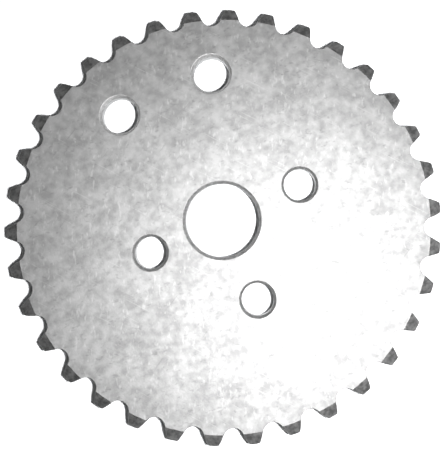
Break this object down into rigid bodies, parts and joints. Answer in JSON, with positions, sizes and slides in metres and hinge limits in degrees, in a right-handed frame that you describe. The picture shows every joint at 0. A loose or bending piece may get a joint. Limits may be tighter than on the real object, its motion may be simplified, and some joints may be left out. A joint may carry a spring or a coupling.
{
  "type": "timing chain sprocket",
  "caption": "Flat steel plate sprocket for a timing chain, with rim teeth bevelled on both faces, a centre bore, bolt holes spaced to fit one way round and a pair of larger outer holes.",
  "frame": {"origin": "centre of the bore on the plate's back face", "axes": "+Z along the bore towards the front face; +Y through a tooth gap, between the two outer holes; +X through a tooth and the far bolt hole"},
  "size_m": [0.0712, 0.071, 0.0025],
  "materials": {
    "plate_steel": "matte, finely mottled plate steel with faint scratches"
  },
  "bodies": {
    "root": {"timing_sprocket": "plate_steel"}
  },
  "joints": []
}
